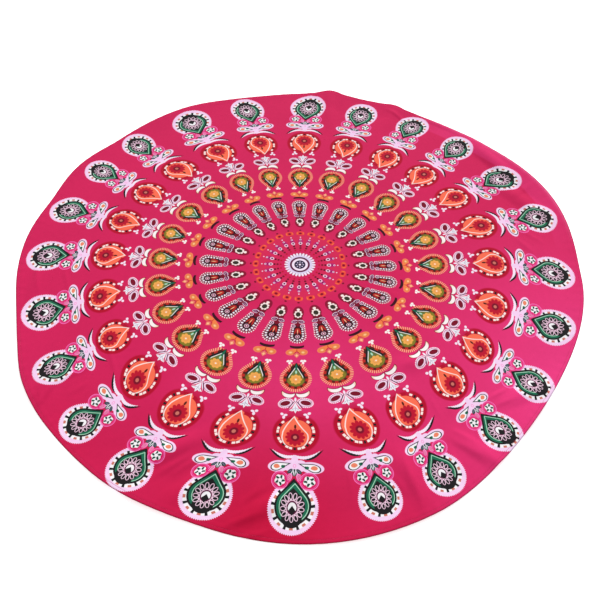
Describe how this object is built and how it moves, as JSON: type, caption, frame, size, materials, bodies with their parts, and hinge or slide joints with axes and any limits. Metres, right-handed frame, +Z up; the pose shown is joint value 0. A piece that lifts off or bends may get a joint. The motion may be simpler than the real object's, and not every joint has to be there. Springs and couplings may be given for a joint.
{
  "type": "round beach towel",
  "caption": "Thin round beach towel with a narrow hem, printed with rings of teardrop and flower motifs, laid out flat with soft folds and a slightly lifted edge.",
  "frame": {"origin": "middle of the footprint, on the surface that the towel lies on", "axes": "+Z up out of the printed face, +Y away from the viewer of the picture, +X to the viewer's right"},
  "size_m": [1.5078, 1.5124, 0.0112],
  "materials": {
    "printed_cloth": "matt printed crimson cloth"
  },
  "bodies": {
    "root": {"towel": "printed_cloth"}
  },
  "joints": []
}
